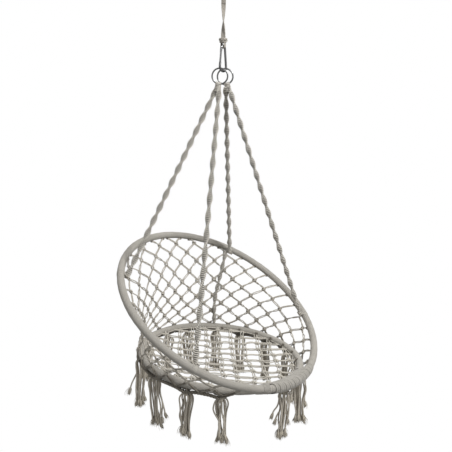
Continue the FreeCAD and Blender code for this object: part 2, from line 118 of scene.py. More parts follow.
def area_light(name, location, target, size, power, colour=(1, 1, 1)):
    data = bpy.data.lights.new(name, "AREA")
    data.shape = "DISK"
    data.size = size
    data.energy = power
    data.color = colour
    o = bpy.data.objects.new(name, data)
    o.location = location
    d = Vector(target) - Vector(location)
    o.rotation_mode = "QUATERNION"
    o.rotation_quaternion = d.to_track_quat("-Z", "Y")
    scene.collection.objects.link(o)
    return o


area_light("key", (0.1, -2.3, 1.3), (0, 0, -1.0), 0.9, 76.0)
area_light("fill", (-2.6, 0.4, 0.9), (0, 0, -1.1), 1.6, 7.0)
scene.view_settings.view_transform = "Standard"
scene.view_settings.look = "None"

# ------------------------------------------------------------------ mesh helpers


def unit(a):
    return a / np.maximum(np.linalg.norm(a, axis=-1, keepdims=True), 1e-12)


def sweep(P, r, sides=6, closed=False, normal=None):
    """Tubes along M lines of N points: P is (M, N, 3), r a number or (M, N). Returns points, quads and uv for each quad corner."""
    P = np.asarray(P, float)
    if P.ndim == 2:
        P = P[None]
    M, N, _ = P.shape
    if closed:
        T = unit(np.roll(P, -1, 1) - np.roll(P, 1, 1))
    else:
        T = np.empty_like(P)
        T[:, 1:-1] = P[:, 2:] - P[:, :-2]
        T[:, 0] = P[:, 1] - P[:, 0]
        T[:, -1] = P[:, -1] - P[:, -2]
        T = unit(T)
    A = np.empty_like(P)
    if normal is not None:
        n0 = np.broadcast_to(np.asarray(normal, float), P.shape)
        A = unit(n0 - T * (n0 * T).sum(-1, keepdims=True))
    else:
        t0 = T[:, 0]
        pick = np.abs(t0).argmin(1)
        e = np.eye(3)[pick]
        a = unit(e - t0 * (e * t0).sum(-1, keepdims=True))
        A[:, 0] = a
        for i in range(1, N):
            a = unit(a - T[:, i] * (a * T[:, i]).sum(-1, keepdims=True))
            A[:, i] = a
    B = np.cross(T, A)
    ang = np.arange(sides) * TAU / sides
    rad = np.broadcast_to(np.asarray(r, float), (M, N))[..., None, None]
    ring = A[:, :, None] * np.cos(ang)[:, None] + B[:, :, None] * np.sin(ang)[:, None]
    V = (P[:, :, None] + rad * ring).reshape(-1, 3)
    step = np.linalg.norm(np.diff(P, axis=1), axis=-1)
    u = np.concatenate([np.zeros((M, 1)), np.cumsum(step, 1)], 1)
    u = u + rng.random((M, 1)) * 0.05
    segs = N if closed else N - 1
    i = np.arange(segs)
    j = np.arange(sides)
    base = (np.arange(M) * N * sides)[:, None, None]
    i2 = (i + 1) % N
    a_ = base + (i * sides)[None, :, None] + j[None, None]
    b_ = base + (i * sides)[None, :, None] + ((j + 1) % sides)[None, None]
    c_ = base + (i2 * sides)[None, :, None] + ((j + 1) % sides)[None, None]
    d_ = base + (i2 * sides)[None, :, None] + j[None, None]
    F = np.stack([a_, b_, c_, d_], -1).reshape(-1, 4)
    u0 = u[:, :segs]
    u1 = u[:, i2] if not closed else np.concatenate([u[:, 1:], u[:, -1:] + step[:, -1:]], 1)
    shape = (M, segs, sides)
    U0 = np.broadcast_to(u0[..., None], shape)
    U1 = np.broadcast_to(u1[..., None], shape)
    V0 = np.broadcast_to((j / sides)[None, None], shape)
    V1 = np.broadcast_to(((j + 1) / sides)[None, None], shape)
    UV = np.stack([np.stack([U0, V0], -1), np.stack([U0, V1], -1), np.stack([U1, V1], -1), np.stack([U1, V0], -1)], -2).reshape(-1, 4, 2)
    return V, F, UV


class Cords:
    """Collects tubes into one mesh."""

    def __init__(self):
        self.V, self.F, self.UV, self.n = [], [], [], 0

    def add(self, P, r, sides=6, closed=False, normal=None):
        V, F, UV = sweep(P, r, sides, closed, normal)
        self.V.append(V)
        self.F.append(F + self.n)
        self.UV.append(UV)
        self.n += len(V)
        return self

    def lines(self, lines, r, sides=6):
        """Many lines of differing lengths, grouped by their number of points."""
        groups = {}
        for p in lines:
            groups.setdefault(len(p), []).append(p)
        for g in groups.values():
            self.add(np.array(g), r, sides)
        return self

    def object(self, name, material):
        V, F, UV = np.concatenate(self.V), np.concatenate(self.F), np.concatenate(self.UV)
        mesh = bpy.data.meshes.new(name)
        mesh.vertices.add(len(V))
        mesh.vertices.foreach_set("co", V.astype(np.float32).ravel())
        mesh.loops.add(len(F) * 4)
        mesh.loops.foreach_set("vertex_index", F.astype(np.int32).ravel())
        mesh.polygons.add(len(F))
        mesh.polygons.foreach_set("loop_start", np.arange(0, len(F) * 4, 4, dtype=np.int32))
        mesh.polygons.foreach_set("use_smooth", np.ones(len(F), bool))
        uv = mesh.uv_layers.new(name="UVMap")
        uv.data.foreach_set("uv", UV.astype(np.float32).ravel())
        mesh.update(calc_edges=True)
        mesh.validate()
        o = bpy.data.objects.new(name, mesh)
        scene.collection.objects.link(o)
        mesh.materials.append(material)
        return o


def bezier(p0, p1, p2, p3, n):
    t = np.linspace(0, 1, n)[:, None]
    return (1 - t) ** 3 * p0 + 3 * (1 - t) ** 2 * t * p1 + 3 * (1 - t) * t**2 * p2 + t**3 * p3


def nurbs_line(points, resolution=24):
    """Points read from a smooth spline through the route."""
    data = bpy.data.curves.new("route", "CURVE")
    data.dimensions = "3D"
    data.resolution_u = resolution
    s = data.splines.new("NURBS")
    s.points.add(len(points) - 1)
    for q, p in zip(s.points, points):
        q.co = (*[float(x) for x in p], 1.0)
    s.order_u = 3
    s.use_endpoint_u = True
    o = bpy.data.objects.new("route", data)
    scene.collection.objects.link(o)
    dg = bpy.context.evaluated_depsgraph_get()
    mesh = bpy.data.meshes.new_from_object(o.evaluated_get(dg))
    P = np.array([v.co[:] for v in mesh.vertices])
    bpy.data.objects.remove(o)
    bpy.data.meshes.remove(mesh)
    return P


def along_line(P, s):
    """Points and directions at the distances s along a line of points."""
    d = np.concatenate([[0], np.cumsum(np.linalg.norm(np.diff(P, axis=0), axis=1))])
    Q = np.stack([np.interp(s, d, P[:, k]) for k in range(3)], -1)
    e = 1e-4
    Q2 = np.stack([np.interp(np.minimum(s + e, d[-1]), d, P[:, k]) for k in range(3)], -1)
    Q1 = np.stack([np.interp(np.maximum(s - e, 0), d, P[:, k]) for k in range(3)], -1)
    return Q, unit(Q2 - Q1), d[-1]


# ------------------------------------------------------------------ materials


def new_material(name):
    mat = bpy.data.materials.new(name)
    mat.use_nodes = True
    nt = mat.node_tree
    bsdf = nt.nodes["Principled BSDF"]
    return mat, nt, bsdf


def math_node(nt, op, a, b=None, c=None):
    n = nt.nodes.new("ShaderNodeMath")
    n.operation = op
    for i, x in enumerate((a, b, c)):
        if x is None:
            continue
        if isinstance(x, (int, float)):
            n.inputs[i].default_value = x
        else:
            nt.links.new(x, n.inputs[i])
    return n.outputs[0]


def cotton(name, base, plies=3.0, lay=0.011, bump=0.0005, groove_shade_and_tone=0.28, deep=0.60):
    """Twisted cotton cord: ply ridges that run round the cord, fuzz, slightly uneven colour, and painted shade in the
    ply grooves and in the hollows between the cords.
    """
    mat, nt, bsdf = new_material(name)
    uv = nt.nodes.new("ShaderNodeUVMap")
    uv.uv_map = "UVMap"
    sep = nt.nodes.new("ShaderNodeSeparateXYZ")
    nt.links.new(uv.outputs[0], sep.inputs[0])
    turn = math_node(nt, "MULTIPLY_ADD", sep.outputs[0], plies / lay, math_node(nt, "MULTIPLY", sep.outputs[1], plies))
    ridge = math_node(nt, "ABSOLUTE", math_node(nt, "SINE", math_node(nt, "MULTIPLY", turn, math.pi)))
    geo = nt.nodes.new("ShaderNodeTexCoord")
    fine = nt.nodes.new("ShaderNodeTexNoise")
    fine.inputs["Scale"].default_value = 900.0
    fine.inputs["Detail"].default_value = 4.0
    nt.links.new(geo.outputs["Object"], fine.inputs["Vector"])
    wide = nt.nodes.new("ShaderNodeTexNoise")
    wide.inputs["Scale"].default_value = 34.0
    wide.inputs["Detail"].default_value = 5.0
    nt.links.new(geo.outputs["Object"], wide.inputs["Vector"])
    height = math_node(nt, "MULTIPLY_ADD", fine.outputs["Fac"], 0.35, ridge)
    b = nt.nodes.new("ShaderNodeBump")
    b.inputs["Strength"].default_value = 0.9
    b.inputs["Distance"].default_value = bump
    nt.links.new(height, b.inputs["Height"])
    nt.links.new(b.outputs[0], bsdf.inputs["Normal"])
    ramp = nt.nodes.new("ShaderNodeValToRGB")
    # the ramp's dark end, used for the painted shade in the ply grooves and for the random tone drift
    dark = [x * (1 - groove_shade_and_tone) for x in base]
    dark[2] *= 0.94
    ramp.color_ramp.elements[0].position = 0.0
    ramp.color_ramp.elements[0].color = (*dark, 1)
    ramp.color_ramp.elements[1].position = 1.0
    ramp.color_ramp.elements[1].color = (*base, 1)
    # painted shade: the grooves between the plies are darker; the colour also drifts a little along the cords, as real
    # uneven tone
    tone = math_node(nt, "MULTIPLY_ADD", ridge, 0.55, math_node(nt, "MULTIPLY", wide.outputs["Fac"], 0.75))
    nt.links.new(tone, ramp.inputs["Fac"])
    # painted shade: an ambient occlusion node darkens the colour in the hollows between the cords, where shade falls;
    # deep sets how strong
    painted_shade_ao = nt.nodes.new("ShaderNodeAmbientOcclusion")
    painted_shade_ao.samples = 6
    painted_shade_ao.inputs["Distance"].default_value = 0.007
    shade = nt.nodes.new("ShaderNodeVectorMath")
    shade.operation = "SCALE"
    nt.links.new(ramp.outputs["Color"], shade.inputs[0])
    nt.links.new(math_node(nt, "MULTIPLY_ADD", painted_shade_ao.outputs["AO"], deep, 1.0 - deep), shade.inputs["Scale"])
    nt.links.new(shade.outputs[0], bsdf.inputs["Base Color"])
    bsdf.inputs["Roughness"].default_value = 0.94
    bsdf.inputs["Specular IOR Level"].default_value = 0.22
    bsdf.inputs["Sheen Weight"].default_value = 0.25
    bsdf.inputs["Sheen Roughness"].default_value = 0.5
    return mat


def steel(name, base, rough, scratch):
    """Zinc-plated or painted steel with fine drawn lines and small stains."""
    mat, nt, bsdf = new_material(name)
    geo = nt.nodes.new("ShaderNodeTexCoord")
    mp = nt.nodes.new("ShaderNodeMapping")
    mp.inputs["Scale"].default_value = (900.0, 900.0, 60.0)
    nt.links.new(geo.outputs["Object"], mp.inputs["Vector"])
    lines = nt.nodes.new("ShaderNodeTexNoise")
    lines.inputs["Scale"].default_value = 1.0
    lines.inputs["Detail"].default_value = 4.0
    nt.links.new(mp.outputs[0], lines.inputs["Vector"])
    spots = nt.nodes.new("ShaderNodeTexNoise")
    spots.inputs["Scale"].default_value = 140.0
    spots.inputs["Detail"].default_value = 6.0
    nt.links.new(geo.outputs["Object"], spots.inputs["Vector"])
    ramp = nt.nodes.new("ShaderNodeValToRGB")
    ramp.color_ramp.elements[0].position = 0.25
    ramp.color_ramp.elements[0].color = (*[x * 0.72 for x in base], 1)
    ramp.color_ramp.elements[1].position = 0.7
    ramp.color_ramp.elements[1].color = (*base, 1)
    nt.links.new(spots.outputs["Fac"], ramp.inputs["Fac"])
    nt.links.new(ramp.outputs["Color"], bsdf.inputs["Base Color"])
    rr = math_node(nt, "MULTIPLY_ADD", lines.outputs["Fac"], 0.22, rough - 0.1)
    nt.links.new(rr, bsdf.inputs["Roughness"])
    b = nt.nodes.new("ShaderNodeBump")
    b.inputs["Strength"].default_value = scratch
    b.inputs["Distance"].default_value = 0.0001
    nt.links.new(lines.outputs["Fac"], b.inputs["Height"])
    nt.links.new(b.outputs[0], bsdf.inputs["Normal"])
    bsdf.inputs["Metallic"].default_value = 1.0
    return mat


COTTON = cotton("cotton_cord", [0.57, 0.53, 0.47], groove_shade_and_tone=0.42)
WRAP = cotton("cotton_wrap", [0.60, 0.57, 0.52], groove_shade_and_tone=0.20, bump=0.0003, deep=0.45)
NET = cotton("cotton_net", [0.72, 0.67, 0.59], groove_shade_and_tone=0.32)
TASSEL = cotton("cotton_tassel", [0.73, 0.67, 0.575], groove_shade_and_tone=0.42, deep=0.45)
# painted shade: a dark copy of the cotton, standing in for the shade on cords under and behind the hoop tubes
PAINTED_SHADE_COTTON = cotton("cotton_painted_shade_under_hoop", [0.31, 0.28, 0.235], groove_shade_and_tone=0.40)
# painted shadow: a near-black cotton for thin cords laid in the front lashing's gaps, where there is only shade
PAINTED_GROOVE_SHADOW = cotton("cotton_painted_groove_shadow", [0.20, 0.185, 0.16], groove_shade_and_tone=0.40)
ROPE = cotton("cotton_rope", [0.80, 0.76, 0.69], groove_shade_and_tone=0.40, deep=0.75)
SEATNET = cotton("cotton_seat_net", [0.79, 0.745, 0.665], groove_shade_and_tone=0.30)
LASH = cotton("cotton_lashing", [0.62, 0.59, 0.54], groove_shade_and_tone=0.30, deep=0.70)
FRAY = cotton("cotton_fray", [0.68, 0.62, 0.52], plies=1.0, lay=0.004, bump=0.0002)
ZINC = steel("zinc_steel", [0.30, 0.30, 0.30], 0.30, 0.35)
PAINT = steel("hoop_steel", [0.62, 0.61, 0.58], 0.5, 0.2)
PAINT.node_tree.nodes["Principled BSDF"].inputs["Metallic"].default_value = 0.0

for name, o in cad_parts.items():
    mat = PAINT if ("tube" in name or "joiner" in name) else ZINC
    if name in ("hook_body", "hook_gate", "gate_pin", "gate_spring", "ring_left", "ring_right") or mat is PAINT:
        o.data.materials.clear()
        o.data.materials.append(mat)

# ------------------------------------------------------------------ knotting


def sinnet(P, W, H, pitch, half_turn, start=0.0, r=0.0017, sides=6, s0=0.0, s1=None, filler=0.0016, per=12, reference=None):
    """A spiral of half knots round two filler cords, along the line P. Returns (strands, fillers) as lists of lines."""
    length = np.linalg.norm(np.diff(P, axis=0), axis=1).sum()
    s1 = length if s1 is None else s1
    half = max(1, round((s1 - s0) / pitch))
    pitch = (s1 - s0) / half
    k = np.repeat(np.arange(half), per)
    u = np.tile(np.arange(per) / per, half)
    cross = np.clip(u / 0.66, 0, 1)
    edge = np.clip((u - 0.66) / 0.34, 0, 1)
    sign = np.where(k % 2 == 0, 1.0, -1.0)
    x = sign * (-W * np.cos(math.pi * cross) + W * 0.10 * np.sin(math.pi * edge))
    y = sign * (H * np.sin(math.pi * cross) * (u < 0.66)) + np.where(u >= 0.66, -sign * H * 0.55 * np.sin(math.pi * edge * 0.5), 0)
    y = y + sign * H * 0.35 * (1 - cross) * (u < 0.66) * -1 * 0
    s = s0 + pitch * (k + 0.30 * cross + 0.70 * edge)
    Q, T, _ = along_line(P, np.clip(s, 0, length))
    ref = unit(np.cross(np.mean(T, 0), Z)) if reference is None else np.asarray(reference, float)
    A = unit(ref - T * (ref * T).sum(-1, keepdims=True))
    B = np.cross(T, A)
    th = start + math.pi * (s - s0) / half_turn
    X = A * np.cos(th)[:, None] + B * np.sin(th)[:, None]
    Y = -A * np.sin(th)[:, None] + B * np.cos(th)[:, None]
    one = Q + X * x[:, None] + Y * y[:, None]
    two = Q - X * x[:, None] - Y * y[:, None]
    sf = np.linspace(s0, s1, max(8, int((s1 - s0) / 0.006)))
    Qf, Tf, _ = along_line(P, sf)
    Af = unit(ref - Tf * (ref * Tf).sum(-1, keepdims=True))
    Bf = np.cross(Tf, Af)
    tf = start + math.pi * (sf - s0) / half_turn
    Xf = Af * np.cos(tf)[:, None] + Bf * np.sin(tf)[:, None]
    fill = [Qf + Xf * w for w in (-filler * 1.9, 0.0, filler * 1.9)]
    return [one, two], fill


KNOT_U = np.linspace(0, 1, 22)


def square_knot(centre, along, across, out, w=0.0062, h=0.0029, pitch=0.0046, r=0.0016):
    """A square knot: two crossings over the fillers, mirrored, each with its side loops. Returns lines."""
    res = []
    for level, sign in ((-0.5, 1.0), (0.5, -1.0)):
        for side in (1.0, -1.0):
            t = KNOT_U * 1.15 - 0.075
            ang = math.pi * t
            x = -side * sign * w * np.cos(ang)
            y = side * h * np.sin(ang)
            z = pitch * (level + 0.55 * (t - 0.5) * 1.0)
            res.append(centre + x[:, None] * across + y[:, None] * out + z[:, None] * along)
    return res


def helix(centre, axis, x, y, radius, turns, pitch, per=16, phase=0.0, squash=1.0):
    t = np.arange(int(turns * per) + 1) / per
    a = TAU * t + phase
    return centre + radius * (np.cos(a)[:, None] * x + squash * np.sin(a)[:, None] * y) + (t * pitch)[:, None] * axis


def round_hoop(hoop, phi, radius, theta):
    """Points at the angle theta round the hoop's tube, 0 outwards and 90 degrees up."""
    radius = np.broadcast_to(np.asarray(radius, float), np.shape(theta))[..., None]
    return hoop.at(phi) + radius * (np.cos(theta)[..., None] * hoop.radial(phi) + np.sin(theta)[..., None] * hoop.n)


CAPTION = {}


def finish_piece(o, body, nodes=()):
    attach(o, body)
    if nodes:
        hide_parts(*nodes)
    return o


# ------------------------------------------------------------------ hoops wound with cord


def wound(hoop, name, node, pitch=0.0034, r=0.00176, per=16):
    turns = int(TAU * hoop.R / pitch)
    n = turns * per
    t = np.arange(n)
    phi = 360.0 * t / n
    wob = 0.00018 * np.sin(t / per * 0.61) + 0.00012 * np.sin(t / per * 0.173 + 1.0)
    P = round_hoop(hoop, phi, COVER_R - r + wob - 0.0001, TAU * (t % per) / per)
    c = Cords().add(P[None], r, 6, closed=True, normal=hoop.tangent(phi)[None])
    return finish_piece(c.object(name, WRAP), "chair", nodes=[node])


wound(BACK, "back_hoop_winding", "back_hoop_cover")
wound(SEAT, "seat_hoop_winding", "seat_hoop_cover")

# ------------------------------------------------------------------ ropes
ROPES = {
    "rope_rear_left": (-56.0, (-0.0189, 0.0189), 0.050, 0.4, 0.0240),
    "rope_front_left": (-124.4, (-0.0139, 0.0045), 0.064, 1.3, 0.0214),
    "rope_rear_right": (47.4, (0.0130, -0.0034), 0.050, 2.2, 0.0240),
    "rope_front_right": (112.5, (0.0195, -0.0194), 0.050, 0.0, 0.0214),
}
for name, (phi, xy, half_turn, start, aside) in ROPES.items():
    p0 = np.array([*xy, -0.4024])
    target = BACK.at(phi) - BACK.radial(phi) * aside
    d = unit(target - p0)
    stop = np.linalg.norm(target - p0)
    P = nurbs_line([p0 - d * 0.018, p0 + d * 0.1, p0 + d * (stop - 0.1), target])
    strands, fill = sinnet(P, 0.0074, 0.0036, 0.0063, half_turn, start, per=16)
    c = Cords()
    for q in strands:
        c.add(q[None], 0.0023, 7)
    for q in fill:
        c.add(q[None], 0.0016, 6)
    o = finish_piece(c.object(name + "_knots", ROPE), "chair", nodes=[name])

# ------------------------------------------------------------------ net between the hoops


def cross_frame(phi):
    c, e, n = SEAT.at(phi), SEAT.radial(phi), SEAT.tangent(phi)
    other = phi
    for _ in range(12):
        gap = (BACK.at(other) - c) @ n
        other -= math.degrees(gap / ((BACK.tangent(other) @ n) * BACK.R))
    return BACK.at(other), c, e, SEAT.n


GRID = np.arange(-165.0, 165.1, 1.0)
OFF, BOW, START, STEP = 0.0158, 0.42, 0.0195, 0.002
STATIONS = 240
TABLE, REACH, WRAP_END = [], [], []
for g in GRID:
    a, c, e, k = cross_frame(g)
    d = a - c
    x, y = d @ e, d @ k
    far = math.hypot(x, y)
    lift = math.atan2(y, x) - math.acos(min(1.0, OFF / far))
    side = e * math.cos(lift) + k * math.sin(lift)
    line = k * math.cos(lift) - e * math.sin(lift)
    long = math.sqrt(max(far * far - OFF * OFF, 1e-6))
    rise = math.atan(4.0 * BOW * long)
    touch = c + side * (OFF * math.cos(rise)) + line * (OFF * math.sin(rise))
    arrive = side * math.sin(rise) - line * math.cos(rise)
    knee = touch - arrive * max((long / 2 - OFF * math.sin(rise)) / math.cos(rise), 0.004)
    top = a + unit(knee - a) * START
    f = np.linspace(0, 1, 60)[:, None]
    curve = top * (1 - f) ** 2 + knee * 2 * f * (1 - f) + touch * f * f
    ang = np.linspace(-rise, 2.9, 60)[1:, None]
    wrap = c + OFF * (side * np.cos(ang) - line * np.sin(ang))
    P = np.concatenate([a + (top - a) * np.linspace(0, 1, 8)[:-1, None], curve, wrap])
    s_ = np.concatenate([[0], np.cumsum(np.linalg.norm(np.diff(P, axis=0), axis=1))])
    v = np.minimum(np.arange(STATIONS) * STEP, s_[-1])
    Q = np.stack([np.interp(v, s_, P[:, i]) for i in range(3)], -1)
    T = unit(np.stack([np.interp(np.minimum(v + 5e-4, s_[-1]), s_, P[:, i]) - np.interp(np.maximum(np.minimum(v, s_[-1] - 1e-5) - 5e-4, 0), s_, P[:, i]) for i in range(3)], -1))
    N = -(T @ line)[:, None] * side + (T @ side)[:, None] * line
    TABLE.append(np.concatenate([Q, N, T], 1))
    REACH.append(s_[7 + 59])
    WRAP_END.append(s_[-1])
TABLE, REACH, WRAP_END = np.array(TABLE), np.array(REACH), np.array(WRAP_END)


def net_at(phi, v):
    """A point of the net at phi, v metres down it from the back hoop's tube centre, with its outward normal and downward direction, and how far down the seat hoop is."""
    phi, v = np.broadcast_arrays(np.asarray(phi, float), np.asarray(v, float))
    i = np.clip((phi - GRID[0]), 0, len(GRID) - 1.001)
    j = np.clip(v / STEP, 0, STATIONS - 1.001)
    i0, j0 = i.astype(int), j.astype(int)
    fi, fj = (i - i0)[..., None], (j - j0)[..., None]
    R = (TABLE[i0, j0] * (1 - fi) + TABLE[i0 + 1, j0] * fi) * (1 - fj) + (TABLE[i0, j0 + 1] * (1 - fi) + TABLE[i0 + 1, j0 + 1] * fi) * fj
    return R[..., 0:3], unit(R[..., 3:6]), unit(R[..., 6:9]), np.interp(phi, GRID, REACH)


COL = 7.5  # degrees of the seat hoop between neighbouring lines of knots
UNDER = 0.042  # how far the net goes round the seat hoop before it is gathered
NCOL = 19
net = Cords()
knots, pairs, hooks, ends, low_pairs, low_knots = [], [], [], [], [], []


def row_up(j, phi):
    """How far the knots of row j lie above the seat hoop."""
    rise = np.interp(abs(phi), [0, 45, 65, 76, 91, 105, 142], [0, 0.001, 0.010, 0.017, 0.023, 0.025, 0.022])
    if j < 0:
        return -0.0235 + 0.35 * rise
    return max(0.033 * j, 0.0015) + max(0, j - 6) * 0.0065 + rise


def reach(phi):
    return float(np.interp(phi, GRID, REACH))


def pair_line(pa, va, pb, vb, n=11, gap=0.0028, lift=0.0):
    """Two parallel cords from (pa, va) to (pb, vb) on the net, pinched where they meet the knots."""
    t = np.linspace(0, 1, n)
    P, N, D, L = net_at(pa + (pb - pa) * t, va + (vb - va) * t)
    T = unit(np.gradient(P, axis=0))
    S = np.cross(N, T)
    w = gap * (0.45 + 0.55 * np.sin(math.pi * t)) * (1 + rng.normal(0, 0.12))
    droop = rng.normal(0, 0.0009) * np.sin(math.pi * t) + lift
    sway = rng.normal(0, 0.0012) * np.sin(math.pi * t)
    twist = rng.uniform(-0.7, 0.7) * np.sin(math.pi * t)
    if rng.random() < 0.45:
        twist = math.pi * (0.5 - 0.5 * np.cos(math.pi * t)) * (1 if rng.random() < 0.5 else -1)
    out = []
    for s in (1, -1):
        out.append(P + S * (s * w * np.cos(twist) + sway)[:, None] + N * (s * w * np.sin(twist) + droop)[:, None])
    return out


RIM = 0.0142
place = {}
for i in range(-NCOL, NCOL + 1):
    for j in range(-1, 13):
        if (i + j) % 2:
            phi = i * COL
            v = reach(phi) - row_up(j, phi)
            if v > 0.025:
                place[i, j] = (phi + rng.normal(0, 0.10), v + rng.normal(0, 0.0007))
for (i, j), (phi, v) in place.items():
    P, N, D, L = net_at(phi, v)
    (low_knots if j < 1 and v > reach(phi) - 0.006 else knots).append((P + N * rng.normal(0, 0.0006), D, np.cross(N, D), N))
    for di in (-1, 1):
        if (i + di, j + 1) in place:
            p2, v2 = place[i + di, j + 1]
            (low_pairs if v > reach(phi) + 0.010 else pairs).extend(pair_line(phi, v - 0.004, p2, v2 + 0.004))
        elif abs(i + di) <= NCOL + 1:
            p2 = (i + di) * COL
            v2 = reach(p2) - row_up(j + 1, p2)
            if v2 < v:
                t = min(1.0, (v - RIM) / (v - v2))
                if t * (v - RIM) > 0.004:
                    pairs.extend(pair_line(phi, v - 0.004, phi + (p2 - phi) * t, RIM if t < 1 else v2, gap=0.0022))
                    hooks.append(phi + (p2 - phi) * t)
        if j == -1 and abs(i + di) <= NCOL:
            p2, v2 = phi + di * COL * 0.45, float(L) + UNDER
            low_pairs.extend(pair_line(phi, v + 0.004, p2, v2))
            ends.append((p2, v2))
net.lines(pairs, 0.00185, 6)
kl = []
for P, D, S, N in knots:
    w = 0.0072 * (1 + rng.normal(0, 0.07))
    kl.extend(square_knot(P, D, S, N, w=w, h=0.0038, pitch=0.0056))
net.lines(kl, 0.0021, 6)
kl = []
for P, D, S, N in low_knots:
    kl.extend(square_knot(P, D, S, N, w=0.0072, h=0.0038, pitch=0.0056))
# painted shade: the net's lower rows and their knots by and under the seat hoop use the dark cotton that stands in for
# the shade there
under = Cords().lines(low_pairs, 0.0021, 6).lines(kl, 0.0023, 6)
finish_piece(under.object("back_net_lower_rows", PAINTED_SHADE_COTTON), "chair")
# hitches on the hoop's inner edge
loops = []
for h in hooks:
    P, N, D, L = net_at(h, 0.0138)
    S = np.cross(N, D)
    for s in (-1, 1):
        t = np.linspace(-0.3, math.pi + 0.3, 12)
        loops.append(P + S * (0.0030 * np.cos(t) + s * 0.0028)[:, None] + N * (0.0036 * np.sin(t) * s)[:, None] - D * (0.0024 * np.sin(t))[:, None])
    t = np.linspace(-1, 1, 9)
    loops.append(P + D * 0.0032 + S * (0.0072 * t)[:, None] + N * (0.0028 * (1 - t**2))[:, None])
hitch = Cords().lines(loops, 0.0021, 6)
finish_piece(net.object("back_net_cords", NET), "chair", nodes=["back_net"])
# painted shade: the hitches are drawn in the dark cotton that stands in for the shade between tube and cords
finish_piece(hitch.object("back_net_hitches", PAINTED_SHADE_COTTON), "chair")

# the net's lower ends run under the seat hoop to the tassels
TASSELS = [0.0, 18.5, 42.0, 62.6, 85.0, 110.0, 130.0, 152.0, 180.0, 227.0, 249.5, 278.0, 308.0, 332.0]
gather, glines = Cords(), []
for c1, v1 in ends:
    near = min(TASSELS, key=lambda q: abs((q - c1 + 180) % 360 - 180))
    dphi = (near - c1 + 180) % 360 - 180
    top = SEAT.at(near) + np.array([0, 0, -0.0205])
    P, N, D, L = net_at(c1, v1)
    for s in (-1, 1):
        S = np.cross(N, D)
        p0 = P + S * (s * 0.0021) - D * 0.006
        p1 = P + D * 0.012 + S * (s * 0.0021)
        mid = round_hoop(SEAT, np.array(c1 + dphi * 0.55), COVER_R + 0.0042, np.array(-math.pi / 2 + 0.25 * rng.normal()))
        p3 = top + rng.normal(0, 0.0014, 3)
        glines.append(nurbs_line([p0, P + S * (s * 0.0021), p1, mid, p3 + Z * 0.006, p3], 4))
gather.lines(glines, 0.0020, 6)
for q in TASSELS:
    top = SEAT.at(q) + np.array([0, 0, -0.0205])
    for k in range(4):
        ang = np.linspace(0, rng.uniform(4.6, 6.0), 18) + rng.uniform(0, TAU)
        size_ = rng.uniform(0.006, 0.0105) * (0.65 if abs((q + 180) % 360 - 180) < 65 else 1.0)
        lean = unit(rng.normal(0, 1, 3) * np.array([1, 1, 0.5]))
        b1 = unit(np.cross(lean, Z))
        b2 = np.cross(lean, b1)
        gather.add((top + rng.normal(0, 0.0035, 3) + size_ * (np.cos(ang)[:, None] * b1 + np.sin(ang)[:, None] * b2))[None], 0.0021, 6)
run = np.linspace(-141, 141, 1200)
near = np.exp(-np.min([np.abs((run - q + 180) % 360 - 180) for q in TASSELS], axis=0) ** 2 / 22.0) * np.clip((np.abs(run) - 35) / 25, 0.12, 1)
for k in range(4):
    tw = np.radians(run) * 46 + TAU * k / 4
    rad = COVER_R - 0.0030 + (0.0080 + 0.0075 * near + 0.0034 * np.cos(tw)) * np.clip((142.0 - np.abs(run)) / 9.0, 0, 1)
    ang = -math.pi / 2 + 0.42 - 0.30 * near + 0.12 * np.sin(np.radians(run) * 19) + 0.0040 / COVER_R * np.sin(tw)
    gather.add(round_hoop(SEAT, run, rad, ang)[None], 0.0026, 6)
# painted shade: the gathering cords and the turns at the tassel tops under the seat hoop use the dark cotton that
# stands in for the shade there
finish_piece(gather.object("net_gathering_cords", PAINTED_SHADE_COTTON), "chair")

# ------------------------------------------------------------------ seat net
EDGE, SAG = 0.2775, 0.020


def dish(x, y):
    r2_ = (x * x + y * y) / (EDGE * EDGE)
    return SEAT.c + x[..., None] * SEAT.v + y[..., None] * SEAT.u + (-SAG * (1 - np.minimum(r2_, 1.0)))[..., None] * SEAT.n


seat = Cords()
HX, HY = 0.0355, 0.0365
lines, sk, nodes_ = [], [], {}
for a in range(-12, 13):
    for b in range(-12, 13):
        if (a + b) % 2 == 0:
            nodes_[a, b] = (a * HX + rng.normal(0, 0.0036), b * HY + rng.normal(0, 0.0036))
LIM = EDGE + 0.002
for (a, b), (x0, y0) in nodes_.items():
    if math.hypot(x0, y0) < EDGE - 0.010:
        th = rng.normal(0, 0.12) + math.pi / 4
        sk.append((dish(np.array(x0), np.array(y0)), SEAT.u * math.cos(th) + SEAT.v * math.sin(th), SEAT.v * math.cos(th) - SEAT.u * math.sin(th), SEAT.n))
    for da in (-1, 1):
        if (a + da, b + 1) not in nodes_:
            continue
        x1, y1 = nodes_[a + da, b + 1]
        k = np.linspace(0, 1, 200)
        inside = k[np.hypot(x0 + (x1 - x0) * k, y0 + (y1 - y0) * k) <= LIM]
        if len(inside) < 12:
            continue
        t = np.linspace(inside[0], inside[-1], 11)
        w0 = np.sin(math.pi * np.linspace(0, 1, 11))
        P = dish(x0 + (x1 - x0) * t, y0 + (y1 - y0) * t)
        T = unit(np.gradient(P, axis=0))
        S = np.cross(SEAT.n, T)
        w = (0.0026 + 0.0022 * w0) * (1 + rng.normal(0, 0.18))
        sway, droop = rng.normal(0, 0.0024), rng.normal(-0.0006, 0.0018)
        for q in (1, -1):
            lines.append(P + S * (q * w + sway * w0)[:, None] + SEAT.n * ((droop + q * rng.normal(0, 0.0012)) * w0)[:, None])
seat.lines(lines, 0.0021, 6)
kl = []
for P, D, S, N in sk:
    kl.extend(square_knot(P, D, S, N, w=0.0082, h=0.0036, pitch=0.0062))
seat.lines(kl, 0.0022, 6)
